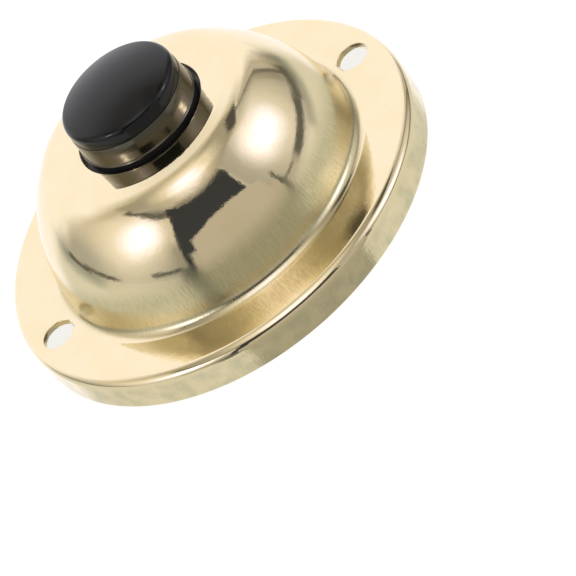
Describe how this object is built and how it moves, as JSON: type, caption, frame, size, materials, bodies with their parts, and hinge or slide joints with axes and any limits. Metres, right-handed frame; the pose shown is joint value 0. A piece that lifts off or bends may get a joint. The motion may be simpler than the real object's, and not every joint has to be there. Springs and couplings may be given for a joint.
{
  "type": "doorbell push button",
  "caption": "Round wall-mounted bell push: polished dome cover with a flange, sprung black button and switch base with screw terminals.",
  "frame": {"origin": "centre of the skirt's rear edge, on the wall plane", "axes": "+Z out of the wall along the button's axis, +X through the two mounting screw holes"},
  "size_m": [0.063, 0.063, 0.0288],
  "materials": {
    "polished_brass": "polished and lacquered pale gold",
    "gloss_black": "glossy moulded black",
    "satin_black": "satin moulded black",
    "base_moulding": "satin moulded thermoset, near black",
    "fibre": "red vulcanised fibre",
    "contact_brass": "plain rolled brass",
    "contact_silver": "bright contact metal",
    "spring_steel": "drawn wire and strip, bright"
  },
  "bodies": {
    "housing": {"cover_shell": "polished_brass", "return_spring": "spring_steel", "spring_seat": "spring_steel", "switch_base": "base_moulding", "contact_strip_left": "contact_brass", "contact_rivet_left": "contact_silver", "terminal_nut_left": "contact_brass", "terminal_screw_left": "contact_brass", "clamp_plate_left": "contact_brass", "contact_strip_right": "contact_brass", "contact_rivet_right": "contact_silver", "terminal_nut_right": "contact_brass", "terminal_screw_right": "contact_brass", "clamp_plate_right": "contact_brass"},
    "button": {"button_cap": "gloss_black", "button_sleeve": "polished_brass", "plunger": "satin_black", "contact_bridge": "contact_brass", "insulating_washer": "fibre", "stem_clip": "spring_steel"}
  },
  "joints": [
    {"name": "button_press", "type": "slide", "parent": "housing", "child": "button", "axis": [0, 0, -1], "range_m": [0, 0.002], "stiffness_N_per_m": 1000, "springref_m": -0.002, "deforming": ["return_spring"]}
  ]
}
